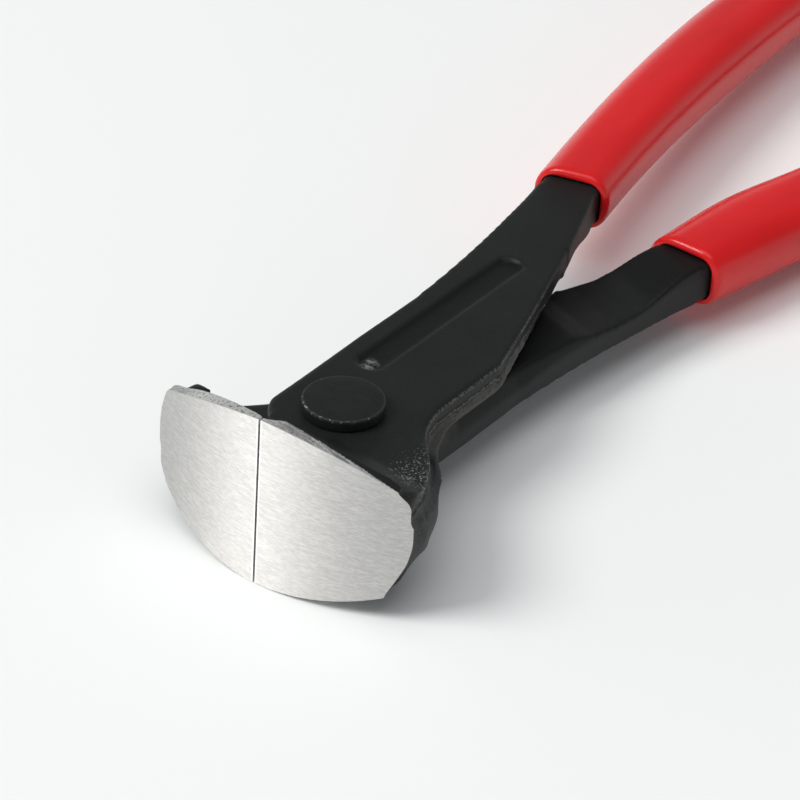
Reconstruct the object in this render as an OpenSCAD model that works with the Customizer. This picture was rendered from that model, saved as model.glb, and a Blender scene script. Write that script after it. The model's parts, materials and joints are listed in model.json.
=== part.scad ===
// End cutting nippers: two identical forged levers, lapped and riveted, with soft sleeves on their tangs.
// The top of the rivet's upper head is at the origin, +Z points up out of it and the handles run along +Y.
// Each piece is drawn about the rivet's axis with the lap plane at zero height, then lowered by pivot_top.

/* [Jaws] */
// Distance from the rivet's axis to the front of the ground face
jaw_reach = 16.5; // [15.5:0.5:19]
// Width of the ground face over both jaws
face_w = 37; // [34:0.5:41]
// Height of the ground face at the seam
face_h = 23; // [21:0.5:27]
// Radius of the ground face, seen from above
crown_r = 36; // [32:1:60]
// Radius of the face's arched rim on the plate's side, seen from the front
rim_r = 32; // [29:1:60]
// Radius of the face's arched rim on the free side, seen from the front
free_rim_r = 41; // [31:1:60]
// Width of the ground strip behind the rim on the plate's side, at the seam
strip_w = 2; // [1.5:0.25:3]
// Width of the ground strip behind the rim on the free side, at the seam
free_strip_w = 0.8; // [0.6:0.1:1.6]
// Gap between the closed cutting edges
seam_gap = 0.3; // [0.1:0.05:0.5]
// Half width of the hollow behind the cutting edges
hollow_x = 2.6; // [2.3:0.1:3]
// Flat land on each cutting edge, in front of its inner bevel
edge_land = 0.3; // [0.2:0.05:0.6]
// Angle between the face and the inner bevel of a cutting edge
edge_angle = 34; // [28:1:42]
// Radius of the jaw's rounded outer flank
flank_r = 24; // [21:0.5:28]
// Distance from the rivet's axis to the foot of the upper flare
flare_y = 5.4; // [5.3:0.1:6.5]
// Radius of the hollow flare between plate and rim
flare_r = 15; // [13:0.5:22]
// Radius of the hollow back of the free half of the jaw
ear_r = 40; // [30:1:60]
// Distance from the rivet's axis to the foot of that hollow, at the lap
ear_y = 5.5; // [3:0.25:7]
// Angle by which that hollow opens away from the face towards its outer end
ear_yaw = 5; // [3:0.5:7]
// Distance from the seam to the shoulder at the outer end of that hollow
shoulder_x = 15; // [13.5:0.25:16.5]
// Distance from the rivet's axis to the back of that shoulder
shoulder_y = 5.9; // [5:0.1:7]
// Distance from the lap plane to the top of that shoulder
shoulder_z = 4.3; // [3.5:0.1:6]
// Width of that shoulder, behind the hollow
shoulder_h = 2.8; // [1:0.1:4]
// Angle by which the flare closes in on the face towards its outer end
rim_yaw = 4.5; // [2:0.5:6]
// Radius about the rivet's axis of the pocket inside the free half of the jaw
pocket_r = 13.6; // [12.5:0.1:14]

/* [Joint] */
// Thickness of each lapped half
lap_t = 4.5; // [4:0.25:5.5]
// Running gap between the lapped halves
lap_gap = 0.1; // [0.05:0.05:0.2]
// Radius of the boss round the rivet
boss_r = 9; // [8.6:0.1:9.4]
// Distance from the rivet's axis to the straight outer edge of the plate
plate_side = 8.4; // [8:0.1:8.6]
// Gap left between a plate's edge and the other lever's jaw when the tool is open
swing_gap = 0.3; // [0.2:0.05:0.5]
// Diameter of the rivet's shank
rivet_d = 6; // [5:0.25:7]
// Diameter of the rivet's heads
rivet_head_d = 10; // [9:0.25:10.5]
// Height of each rivet head
rivet_head_h = 1.6; // [1.2:0.05:2]
// Chamfer round the rim of each rivet head
rivet_rim = 0.2; // [0.1:0.05:0.5]
// Radial running clearance of the rivet in its bores
rivet_clear = 0.05; // [0.02:0.01:0.09]
// Gap under each rivet head
head_gap = 0.05; // [0.02:0.01:0.1]
// Angle through which the tool opens
open_angle = 38; // [30:1:40]

/* [Levers] */
// Thickness of the handle and tang
handle_t = 5.6; // [5:0.1:6.5]
// Width of the tang
tang_w = 8; // [7:0.25:9]
// Radius of the handles' bow
bow_r = 385; // [370:5:420]
// Distance between the middles of the two handles where the bow is widest
spread = 37.5; // [37:0.25:40]
// Distance from the rivet's axis to the widest place of the bow
widest_y = 148; // [144:1:150]
// Distance from the rivet's axis to the far end of the tang
tang_y = 172; // [160:1:176]
// Distance from the rivet's axis to where the plate has narrowed to the tang
shank_y = 62; // [60:0.5:63]
// Distance from the rivet's axis to where the handle thickens past the crotch
step_y = 49; // [48.5:0.5:52]
// Distance from the rivet's axis to the corner of the plate's inner edge
corner_y = 20.4; // [18:0.2:23]
// Distance from the rivet's axis to the end of the plate's straight outer edge
straight_y = 26; // [22:0.5:30]
// Bulge of the plate's outer edge between straight and tang
outer_bulge = 0.65; // [0.3:0.05:1]
// Hollow of the plate's inner edge between corner and tang
inner_bulge = 0.45; // [0.2:0.05:0.8]
// Height of the forging's parting line above the lap plane
parting_z = 1.8; // [1.2:0.1:2.6]
// Distance from the rivet's axis to the plate's inner edge, below the parting line
side_x = 9.2; // [9:0.1:9.6]
// Radius of the neck between plate and jaw, below the parting line
neck_r = 17.2; // [15:0.2:19]
// Distance from the rivet's axis to the neck's start, below the parting line
neck_y = 12.5; // [11:0.5:14]
// Set-back of the plate's inner edge above the parting line
draft = 0.5; // [0.2:0.1:0.8]
// Radius of the neck above the parting line
upper_neck_r = 11.5; // [10:0.5:14]
// Distance from the rivet's axis to the neck's start, above the parting line
upper_neck_y = 8.5; // [7.5:0.5:10]

/* [Recess] */
// Width of the sunk panel on each lever
recess_w = 3.8; // [3:0.1:4.5]
// Length of the sunk panel
recess_l = 33.4; // [24:0.2:34]
// Depth of the sunk panel
recess_depth = 0.5; // [0.3:0.05:0.8]
// Distance from the plate's outer edge to the panel
recess_margin = 2.75; // [2:0.05:3.5]
// Distance from the rivet head to the panel
recess_gap = 4; // [3:0.2:5]

/* [Grips] */
// Distance from the rivet's axis to the mouth of each sleeve
grip_y = 64; // [63.5:0.5:70]
// Distance from the rivet's axis to the closed end of each sleeve
grip_end_y = 183.5; // [181:0.5:190]
// Wall of the sleeve at its mouth
grip_wall = 1.3; // [1:0.1:1.8]
// Clearance between tang and sleeve
grip_clear = 0.1; // [0.06:0.02:0.2]
// Swelling of the sleeve's belly, on each side
grip_swell = 0.8; // [0:0.1:1.5]
// Distance from the rivet's axis to where the belly is full
swell_y = 124; // [110:1:135]
// Radius of the sleeve's long corners
grip_corner = 3; // [2.2:0.1:3.4]
// Radius of the tang's long corners
tang_corner = 0.8; // [0.4:0.1:1.2]
// Rounding of the sleeve's mouth
grip_lip = 0.6; // [0.3:0.1:0.8]
// Length of the sleeve's rounded end
grip_dome = 6; // [4:0.5:8]

/* [Hidden] */
$fn = 160;

// Overrun of every cut past the metal that it cuts
overrun = 2;
// Steps along each curve of an outline
curve_steps = 10;
// Steps along a sleeve, round its closed end and round each of its corners
grip_steps = 14;
dome_steps = 5;
corner_steps = 4;

// Outer end of the jaw's face, from the plate's side of the lap to the free side:
// shares of half the face's width and of half its height
end_shares = [[0.87, 0.62], [0.955, 0.46], [1, 0.28], [1, 0], [0.965, -0.26], [0.915, -0.47], [0.855, -0.70]];

pivot_top = lap_t + head_gap + rivet_head_h;
lap_z = lap_gap / 2;
handle_z = lap_t - handle_t / 2;
bow_x = bow_r - spread / 2;
upper_side_x = side_x - draft;
// A length that reaches past the whole tool, for cutting blocks
far = grip_end_y + jaw_reach + overrun;

// Where the bow of the upper handle lies: its angle at a distance y, and a point set off from its middle
function bow_angle(y) = asin((y - widest_y) / bow_r);
function bow_point(y, off) =
    [bow_x - (bow_r + off) * cos(bow_angle(y)), widest_y + (bow_r + off) * sin(bow_angle(y))];

// Points of a shallow curve from p to q that bulges to the left of its way
function curve(p, q, bulge) =
    [for (i = [0 : curve_steps])
        let (t = i / curve_steps, way = q - p, left = [-way[1], way[0]] / norm(way))
        p + t * way + 4 * t * (1 - t) * bulge * left];

// Points of an arc about a centre
function arc(centre, r, from, to) =
    [for (i = [0 : curve_steps])
        let (a = from + (to - from) * i / curve_steps)
        centre + r * [cos(a), sin(a)]];

// Centre of the circle of radius r through p and q that lies to the left of the way from p to q
function centre_left(p, q, r) =
    let (way = q - p, left = [-way[1], way[0]] / norm(way))
    (p + q) / 2 + sqrt(r * r - way * way / 4) * left;

// Inner edge of the head seen from above: plate corner, hollow neck and rounded flank to beyond the face
function flank_edge(side, neck, start_y) =
    let (
        reach = neck + flank_r,
        turn = acos((side + reach - face_w / 2) / reach),
        neck_c = [side + neck, start_y],
        flank_c = neck_c - reach * [cos(turn), sin(turn)],
        front = asin((-jaw_reach - overrun - flank_c[1]) / flank_r)
    )
    concat(
        arc(neck_c, neck, 180, 180 + turn),
        arc(flank_c, flank_r, turn, front)
    );

// Section of a bar with rounded corners: half width, half thickness and corner radius
function bar_section(half_w, half_t, r) =
    [for (c = [0 : 3]) for (i = [0 : corner_steps])
        let (
            a = 90 * (c + i / corner_steps),
            across = c == 0 || c == 3 ? half_w - r : r - half_w,
            up = c < 2 ? half_t - r : r - half_t
        )
        [across + r * cos(a), up + r * sin(a)]];

// Lever seen from above, without the boss
module lever_plan(side, neck, start_y)
    polygon(concat(
        [[-plate_side, 0]],
        curve([-plate_side, straight_y], bow_point(shank_y, tang_w / 2), -outer_bulge),
        curve(bow_point(shank_y, -tang_w / 2), [side, corner_y], inner_bulge),
        flank_edge(side, neck, start_y),
        [[hollow_x, -jaw_reach - overrun], [hollow_x, 0]]
    ));

// Boss round the rivet, cut straight in line with the plate's outer edge
module boss_plan()
    intersection() {
        circle(r = boss_r);
        translate([-plate_side, -boss_r])
            square([plate_side + boss_r, 2 * boss_r]);
    }

// Jaw seen from above: cutting edge and inner bevel on the seam side, flank on the other
module jaw_plan(side, neck, start_y) {
    bevel_y = (hollow_x - seam_gap / 2) * tan(edge_angle);
    intersection() {
        polygon(concat(
            flank_edge(side, neck, start_y),
            [
                [seam_gap / 2, -jaw_reach - overrun],
                [seam_gap / 2, edge_land - jaw_reach],
                [hollow_x, edge_land + bevel_y - jaw_reach],
                [hollow_x, start_y]
            ]
        ));
        translate([0, -far])
            square([far, far]);
    }
}

// Both levels of the forging, below and above its parting line
module below_parting(bottom)
    translate([0, 0, bottom])
        linear_extrude(parting_z - bottom)
            children();

module above_parting(top)
    translate([0, 0, parting_z])
        linear_extrude(top - parting_z)
            children();

// Flat lapped half with its shank, behind the foot of the flare
module plate() {
    intersection() {
        union() {
            below_parting(lap_z) lever_plan(side_x, neck_r, neck_y);
            above_parting(lap_t) lever_plan(upper_side_x, upper_neck_r, upper_neck_y);
        }
        translate([-far, -flare_y, -far])
            cube([2 * far, far, 2 * far]);
    }
    translate([0, 0, lap_z])
        linear_extrude(lap_t - lap_z)
            boss_plan();
}

// Face outline seen from the front, on the jaw's own side of the seam
module face_plan() {
    half_w = face_w / 2;
    half_h = face_h / 2;
    intersection() {
        translate([0, half_h - rim_r]) circle(r = rim_r);
        translate([0, free_rim_r - half_h]) circle(r = free_rim_r);
        polygon(concat(
            [[0, half_h + overrun], [end_shares[0][0] * half_w, half_h + overrun]],
            [for (s = end_shares) [s[0] * half_w, s[1] * half_h]],
            [[end_shares[len(end_shares) - 1][0] * half_w, -half_h - overrun], [0, -half_h - overrun]]
        ));
    }
}

// Cylinder lying across the tool, through two places given as distance along Y and height
module across_cylinder(p, q, r) {
    c = centre_left(p, q, r);
    translate([-far, c[0], c[1]])
        rotate([0, 90, 0])
            cylinder(r = r, h = 2 * far);
}

// Hollow flare over the plate, up to the ground strip, and all that is above the plate behind it
module flare_cut() {
    rim = [strip_w - jaw_reach, face_h / 2];
    foot = [-flare_y, lap_t];
    rotate([0, 0, -rim_yaw]) {
        intersection() {
            across_cylinder(rim, foot, flare_r);
            translate([-far, -far - flare_y, lap_t])
                cube([2 * far, far, far]);
        }
        translate([-far, -flare_y, lap_t])
            cube([2 * far, far, far]);
    }
}

// Hollow back of the jaw's free half, set back by a distance
module ear_hollow(back)
    rotate([0, 0, ear_yaw])
        translate([0, back, 0])
            across_cylinder([-ear_y, lap_z], [free_strip_w - jaw_reach, -face_h / 2], ear_r);

// That hollow with the low shoulder that stands in its outer end
module ear_cut()
    intersection() {
        union() {
            ear_hollow(shoulder_h);
            difference() {
                ear_hollow(0);
                translate([shoulder_x, -far, -shoulder_z])
                    cube([far, far - shoulder_y, far]);
            }
        }
        translate([-far, -far, lap_z - far])
            cube([2 * far, 2 * far, far]);
    }

// Pocket round the other lever's boss, and room for its plate's edge as the tool opens
module swing_cut()
    translate([0, 0, lap_z - far]) {
        cylinder(r = pocket_r, h = far);
        rotate([0, 0, -open_angle])
            cube([plate_side + swing_gap, far, far]);
    }

// Jaw with its ground face, rim strips, flare and free half
module jaw()
    difference() {
        intersection() {
            union() {
                below_parting(-face_h) jaw_plan(side_x, neck_r, neck_y);
                above_parting(face_h) jaw_plan(upper_side_x, upper_neck_r, upper_neck_y);
            }
            translate([0, crown_r - jaw_reach, -far])
                cylinder(r = crown_r, h = 2 * far);
            rotate([90, 0, 0])
                translate([0, 0, -far])
                    linear_extrude(2 * far)
                        face_plan();
        }
        flare_cut();
        ear_cut();
        swing_cut();
    }

// Handle past the crotch at its full thickness, then the tang along the bow
module handle() {
    intersection() {
        translate([0, 0, lap_t - handle_t])
            linear_extrude(handle_t)
                lever_plan(side_x, neck_r, neck_y);
        translate([-far, step_y, -far])
            cube([2 * far, far, 2 * far]);
    }
    translate([bow_x, widest_y, handle_z])
        rotate([0, 0, 180 - bow_angle(tang_y)])
            rotate_extrude(angle = bow_angle(tang_y) - bow_angle(shank_y - overrun))
                translate([bow_r, 0])
                    polygon(bar_section(tang_w / 2, handle_t / 2, tang_corner));
}

// Sunk panel with round ends, along the plate's outer edge
module recess_cut() {
    end_r = recess_w / 2;
    run = recess_l - recess_w;
    translate([recess_margin - plate_side + end_r, rivet_head_d / 2 + recess_gap + end_r, lap_t - recess_depth])
        linear_extrude(recess_depth + overrun) {
            circle(r = end_r);
            translate([-end_r, 0]) square([recess_w, run]);
            translate([0, run]) circle(r = end_r);
        }
}

module lever_forging()
    difference() {
        union() {
            plate();
            jaw();
            handle();
        }
        translate([0, 0, -far])
            cylinder(d = rivet_d + 2 * rivet_clear, h = 2 * far);
        recess_cut();
    }

// Points and faces of a closed skin: a first pole, rings in order and a last pole
function skin_points(first, rings, last) = concat([first], [for (ring = rings) each ring], [last]);
function skin_faces(ring_count, sides) =
    let (end = ring_count * sides + 1)
    concat(
        [for (i = [0 : sides - 1]) [0, 1 + (i + 1) % sides, 1 + i]],
        [for (k = [0 : ring_count - 2]) for (i = [0 : sides - 1])
            let (a = 1 + k * sides + i, b = 1 + k * sides + (i + 1) % sides)
            each [[a, b, a + sides], [b, b + sides, a + sides]]],
        [for (i = [0 : sides - 1]) [end, end - sides + i, end - sides + (i + 1) % sides]]
    );

// A ring of a sleeve at distance y, with its half sizes and corner radius
function grip_ring(y, half_w, half_t, r) =
    [for (s = bar_section(half_w, half_t, r))
        let (at = bow_point(y, s[0]))
        [at[0], at[1], handle_z + s[1]]];

// Soft sleeve: from the end of its cavity to its mouth, back along its outside and round its closed end
module grip_sleeve() {
    cave_w = tang_w / 2 + grip_clear;
    cave_t = handle_t / 2 + grip_clear;
    cave_end = tang_y + grip_clear;
    mouth_w = cave_w + grip_wall;
    mouth_t = cave_t + grip_wall;
    dome_y = grip_end_y - grip_dome;
    outer_y = grip_y + grip_lip;
    cavity = [for (i = [0 : grip_steps])
        grip_ring(cave_end + (grip_y - cave_end) * i / grip_steps, cave_w, cave_t, tang_corner + grip_clear)];
    lip = [grip_ring(grip_y, mouth_w - grip_lip, mouth_t - grip_lip, grip_corner - grip_lip)];
    outside = [for (i = [0 : grip_steps])
        let (
            y = outer_y + (dome_y - outer_y) * i / grip_steps,
            full = min(1, (y - outer_y) / (swell_y - outer_y)),
            swell = grip_swell * full * full * (3 - 2 * full)
        )
        grip_ring(y, mouth_w + swell, mouth_t + swell / 2, grip_corner)];
    dome = [for (i = [1 : dome_steps - 1])
        let (a = 90 * i / dome_steps, shrink = cos(a))
        grip_ring(
            dome_y + grip_dome * sin(a),
            (mouth_w + grip_swell) * shrink,
            (mouth_t + grip_swell / 2) * shrink,
            grip_corner * shrink
        )];
    rings = concat(cavity, lip, outside, dome);
    cave_pole = bow_point(cave_end, 0);
    end_pole = bow_point(grip_end_y, 0);
    polyhedron(
        skin_points(
            [cave_pole[0], cave_pole[1], handle_z],
            rings,
            [end_pole[0], end_pole[1], handle_z]
        ),
        skin_faces(len(rings), len(rings[0]))
    );
}

// Rivet with a shank and two flat heads
module rivet() {
    shank_r = rivet_d / 2;
    head_r = rivet_head_d / 2;
    seat = lap_t + head_gap;
    upper = [
        [0, pivot_top],
        [head_r - rivet_rim, pivot_top],
        [head_r, pivot_top - rivet_rim],
        [head_r, seat],
        [shank_r, seat]
    ];
    lower = [for (i = [len(upper) - 1 : -1 : 0]) [upper[i][0], -upper[i][1]]];
    rotate_extrude()
        polygon(concat(upper, lower));
}

// Height of the origin, and the half turn that makes the lower pieces from the upper ones
module on_pivot() translate([0, 0, -pivot_top]) children();
module turned_over() rotate([0, 180, 0]) children();

module upper_lever() color([0.13, 0.13, 0.14]) on_pivot() lever_forging();
module lower_lever() color([0.13, 0.13, 0.14]) on_pivot() turned_over() lever_forging();
module pivot_rivet() color([0.16, 0.15, 0.15]) on_pivot() rivet();
module upper_grip() color([0.83, 0.08, 0.09]) on_pivot() grip_sleeve();
module lower_grip() color([0.83, 0.08, 0.09]) on_pivot() turned_over() grip_sleeve();

upper_lever();
lower_lever();
pivot_rivet();
upper_grip();
lower_grip();
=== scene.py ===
# %% [markdown]
# End cutting nippers, dressed for a close look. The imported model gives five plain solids: two forged
# levers, the rivet that joins them and two sleeves. Each gets a finer piece here, with the forging's
# soft edges, the crisp ground faces of the jaws and the gloss of dipped vinyl.
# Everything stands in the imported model's own frame: the rivet's axis is Z, the jaws point to -Y and the
# handles run along +Y. Sizes are written in millimetres about the pivot, and MM turns them into metres.

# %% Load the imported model
import json
import math

import bmesh
import bpy
import numpy as np
from mathutils import Matrix, Vector, noise


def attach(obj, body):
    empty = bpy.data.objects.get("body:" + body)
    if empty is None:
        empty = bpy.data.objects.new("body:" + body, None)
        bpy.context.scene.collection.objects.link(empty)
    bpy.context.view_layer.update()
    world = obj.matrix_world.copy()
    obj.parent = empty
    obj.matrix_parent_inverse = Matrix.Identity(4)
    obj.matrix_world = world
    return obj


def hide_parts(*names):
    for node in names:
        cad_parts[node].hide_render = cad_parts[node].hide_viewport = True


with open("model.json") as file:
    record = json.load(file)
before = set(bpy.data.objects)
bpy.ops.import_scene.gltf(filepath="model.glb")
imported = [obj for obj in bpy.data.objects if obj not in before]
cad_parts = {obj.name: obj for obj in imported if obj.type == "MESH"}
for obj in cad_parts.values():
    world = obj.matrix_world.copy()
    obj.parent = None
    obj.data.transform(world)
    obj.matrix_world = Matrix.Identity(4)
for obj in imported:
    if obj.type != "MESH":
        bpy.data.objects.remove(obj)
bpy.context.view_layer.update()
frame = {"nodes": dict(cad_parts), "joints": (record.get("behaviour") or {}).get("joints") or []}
MM = 0.001
pivot = Vector(frame["joints"][0]["pos_m"])
print("pivot of the levers, in mm:", [round(c / MM, 2) for c in pivot])

# %% [markdown]
# The camera comes first, because every later look is judged through it. A long lens from some 380 mm
# away was fitted to the rivet head, the seam and the sleeves. It could be aimed with a Track To
# constraint, but three angles, a distance and a sideways move say exactly where it stands, so the
# matrix is built from those.

# %% Camera
FRAME_PX = 800
FOCAL_PX = 3200
CAMERA_AZIMUTH = math.radians(33.646)
CAMERA_ELEVATION = math.radians(33.384)
CAMERA_ROLL = math.radians(3.805)
CAMERA_DISTANCE = 381.16 * MM
PIVOT_IN_VIEW = Vector((-6.966 * MM, -4.893 * MM))

back = Vector((
    math.sin(CAMERA_AZIMUTH) * math.cos(CAMERA_ELEVATION),
    -math.cos(CAMERA_AZIMUTH) * math.cos(CAMERA_ELEVATION),
    math.sin(CAMERA_ELEVATION),
))
level_right = Vector((math.cos(CAMERA_AZIMUTH), math.sin(CAMERA_AZIMUTH), 0))
level_up = back.cross(level_right)
right = math.cos(CAMERA_ROLL) * level_right + math.sin(CAMERA_ROLL) * level_up
up = math.cos(CAMERA_ROLL) * level_up - math.sin(CAMERA_ROLL) * level_right

camera_data = bpy.data.cameras.new("camera")
camera_data.sensor_width = 36
camera_data.lens = camera_data.sensor_width * FOCAL_PX / FRAME_PX
camera_data.clip_start = 0.01
camera = bpy.data.objects.new("camera", camera_data)
place = pivot - PIVOT_IN_VIEW.x * right - PIVOT_IN_VIEW.y * up + CAMERA_DISTANCE * back
camera.matrix_world = Matrix((right, up, back)).transposed().to_4x4()
camera.matrix_world.translation = place
bpy.context.scene.collection.objects.link(camera)
bpy.context.scene.camera = camera
print("camera stands at, in mm:", [round(c / MM, 1) for c in place])

# %% [markdown]
# Finishes are made of shader nodes, and most of a finish is arithmetic on masks. Node by node that is
# hard to read, so a small class wraps a socket: adding or multiplying two wires adds the Math node that
# does it.

# %% Shader arithmetic


class Wire:
    """An output socket that can be used in sums."""

    def __init__(self, finish, socket):
        self.finish = finish
        self.socket = socket

    def maths(self, operation, first, second):
        return self.finish.node("Math", {"operation": operation}, {0: first, 1: second})

    def __add__(self, other):
        return self.maths("ADD", self, other)

    def __radd__(self, other):
        return self.maths("ADD", other, self)

    def __sub__(self, other):
        return self.maths("SUBTRACT", self, other)

    def __rsub__(self, other):
        return self.maths("SUBTRACT", other, self)

    def __mul__(self, other):
        return self.maths("MULTIPLY", self, other)

    def __rmul__(self, other):
        return self.maths("MULTIPLY", other, self)

    def __truediv__(self, other):
        return self.maths("DIVIDE", self, other)

    def __pow__(self, other):
        return self.maths("POWER", self, other)

    def __abs__(self):
        return self.maths("ABSOLUTE", self, 0)


def from_axis(across, along):
    """The distance from an axis along Z."""
    return (across * across + along * along) ** 0.5


# %% [markdown]
# All other nodes come from one method of the finish that they belong to. A finish reads Object
# coordinates, turned into millimetres about the pivot, so that a mask can be placed with the same
# numbers as the shape that it belongs to. Colours are laid over each other like coats of paint.

# %% Finishes


class Finish:
    """A material under construction."""

    def __init__(self, name):
        self.material = bpy.data.materials.new(name)
        self.material.use_nodes = True
        self.tree = self.material.node_tree
        self.tree.nodes.clear()
        self.place = self.node("TexCoord", out="Object")

    def node(self, kind, settings=None, sockets=None, out=0):
        """Adds a node: its settings first, then the values or wires of its sockets."""
        made = self.tree.nodes.new("ShaderNode" + kind)
        for name, value in (settings or {}).items():
            setattr(made, name, value)
        for name, value in (sockets or {}).items():
            if isinstance(value, Wire):
                self.tree.links.new(value.socket, made.inputs[name])
            else:
                made.inputs[name].default_value = value
        return Wire(self, made.outputs[out]) if made.outputs else None

    def axes(self, turn=0):
        """X, Y and Z in millimetres about the pivot, after a turn about Y."""
        scale = (1 / MM, 1 / MM, 1 / MM)
        offset = [-c / MM for c in pivot]
        local = self.node("Mapping", None, {"Vector": self.place, "Location": offset, "Scale": scale})
        facing = self.node("Mapping", None, {"Vector": local, "Rotation": (0, turn, 0)})
        split = self.node("SeparateXYZ", None, {0: facing})
        return [Wire(self, part) for part in split.socket.node.outputs]

    def join(self, x, y, z):
        return self.node("CombineXYZ", None, {0: x, 1: y, 2: z})

    def clouds(self, where, scale, detail=2.0, roughness=0.5):
        """Soft noise from 0 to 1."""
        sockets = {"Vector": where, "Scale": scale, "Detail": detail, "Roughness": roughness}
        return self.node("TexNoise", None, sockets)

    def ramp(self, value, low, high):
        """0 below low, 1 above high and a smooth step between; a ramp may also fall."""
        sockets = {"Value": value, "From Min": low, "From Max": high}
        return self.node("MapRange", {"interpolation_type": "SMOOTHSTEP"}, sockets)

    def blend(self, first, second, share):
        """One colour turning into another."""
        return self.node("Mix", {"data_type": "RGBA"}, {0: share, 6: first, 7: second}, out=2)

    def coats(self, colour, layers):
        """Lays one tint after another over a colour, each by its own share."""
        for tint, share in layers:
            colour = self.blend(colour, tint, share)
        return colour

    def bump(self, height, depth, strength):
        return self.node("Bump", None, {"Height": height, "Distance": depth, "Strength": strength})

    def surface(self, **sockets):
        """Ends the finish in a Principled shader; underscores in the names stand for spaces."""
        named = {name.replace("_", " "): value for name, value in sockets.items()}
        shader = self.node("BsdfPrincipled", None, named)
        self.node("OutputMaterial", None, {"Surface": shader})
        return self.material


# %% [markdown]
# Black oxide is a thin, dark, slightly soft skin on the forging, and it is never one flat black. Below
# the parting line, where the two dies met, patches of scale leave the wall lighter. Along the neck the
# line is a worn lip; beside the jaw it is painted near-black as the shade of a ragged crevice. A grey
# line just under the plate's upper edge is a painted highlight, the sunk panel and the lap side under
# the other lever get painted shade, a rubbed patch at the panel's front end is painted bright as a
# glint, and bright specks lie in the hollow beside the jaw. A painted mask would need an image, so each
# place is a small sum of ramps along the lever's own axes.

# %% Where the black varies
PARTING_Z = 1.8
PLATE_Z = 4.5
NECK_RISE = 0.9
FLANK_RISE = 1.7
RAGGED = 1.6
FLANK_X = -5.5
FLANK_Y = -13.6
FLANK_R = 24
RECESS_X = -3.75
RECESS_Y = 25.7

# Each pair says where a mask begins and where it is full.
RISE_Y = (44, 34)
FLANK_SKIN = (-0.8, -0.3)
BESIDE_JAW_Y = (3, 0)
BEHIND_JAW_Y = (1, 4)
NECK_WALL_X = (4, 7)
NECK_WALL_Z = (0.1, 0.4)
BELOW_LINE = (0.2, -0.3)
SCALE_GRAIN = (0.35, 0.6)
EDGE_BOTTOM = (0.75, 0.4)
EDGE_TOP = (0.08, 0.25)
EDGE_GRAIN = (0.42, 0.62)
EDGE_Y = (-6, 0)
PANEL_X = (2.1, 1.7)
PANEL_Y = (16.8, 16.2)
PANEL_FLOOR_Z = (3.4, 3.8)
PANEL_RIM_Z = (4.35, 4.15)
RUB_X = (1.3, 0.6)
RUB_Y = (12.2, 11.2)
RUB_RAG = (0.42, 0.58)
DUST_X = (8, 14)
DUST_BACK_Y = (7, 1)
DUST_FRONT_Y = (-13, -7)
DUST_Z = (2.4, 3.6)
DUST_SPECK = (0.70, 0.80)


def parting_level(skin, y, z, by_jaw, rag):
    """Height above the ragged parting line, which climbs along the neck and again at the jaw."""
    raised = NECK_RISE * skin.ramp(y, *RISE_Y) + (FLANK_RISE - NECK_RISE) * by_jaw
    return z - PARTING_Z - raised + RAGGED * (rag - 0.5)


def wall_scale(skin, x, y, z, level, grain):
    """Scale below the parting line: on the whole wall, and on the neck's part of it."""
    from_flank = from_axis(x - FLANK_X, y - FLANK_Y) - FLANK_R
    flank = skin.ramp(from_flank, *FLANK_SKIN) * skin.ramp(y, *BESIDE_JAW_Y)
    neck = skin.ramp(z, *NECK_WALL_Z) * skin.ramp(x, *NECK_WALL_X) * skin.ramp(y, *BEHIND_JAW_Y)
    patchy = skin.ramp(level, *BELOW_LINE) * (0.4 + 0.6 * skin.ramp(grain, *SCALE_GRAIN))
    return patchy * skin.ramp(flank + neck, 0, 1), patchy * neck


def painted_edge_highlight(skin, y, z, grain):
    """A painted highlight: a grey line just under the plate's upper edge."""
    under = PLATE_Z - z
    line = skin.ramp(under, *EDGE_BOTTOM) * skin.ramp(under, *EDGE_TOP)
    return line * skin.ramp(grain, *EDGE_GRAIN) * skin.ramp(y, *EDGE_Y)


def sunk_panel(skin, x, y, z, rag):
    """The sunk panel on the plate, for painted shade, and a rubbed patch at its front end, painted bright
    as a glint.
    """
    beside = abs(x - RECESS_X)
    sunk = skin.ramp(beside, *PANEL_X) * skin.ramp(abs(y - RECESS_Y), *PANEL_Y)
    sunk = sunk * skin.ramp(z, *PANEL_FLOOR_Z) * skin.ramp(z, *PANEL_RIM_Z)
    front = skin.ramp(beside, *RUB_X) * skin.ramp(y, *RUB_Y) * skin.ramp(rag, *RUB_RAG)
    return sunk, sunk * front


def jaw_dust(skin, x, y, z):
    """Bright specks, thick in the hollow beside the jaw and thin elsewhere."""
    speck = skin.clouds(skin.join(x, y, z), scale=3.6, detail=2.0, roughness=0.7)
    dusty = skin.ramp(x, *DUST_X) * skin.ramp(y, *DUST_BACK_Y)
    dusty = dusty * skin.ramp(y, *DUST_FRONT_Y) * skin.ramp(z, *DUST_Z)
    return skin.ramp(speck + 0.15 * dusty, *DUST_SPECK) * (0.1 + 0.9 * dusty)


# %% [markdown]
# Over those places the skin clouds over a few millimetres and has the fine grain of shot-blasted steel.
# Both levers are one forging, the lower one turned over, so the same recipe serves both with its axes
# turned half round.

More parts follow.
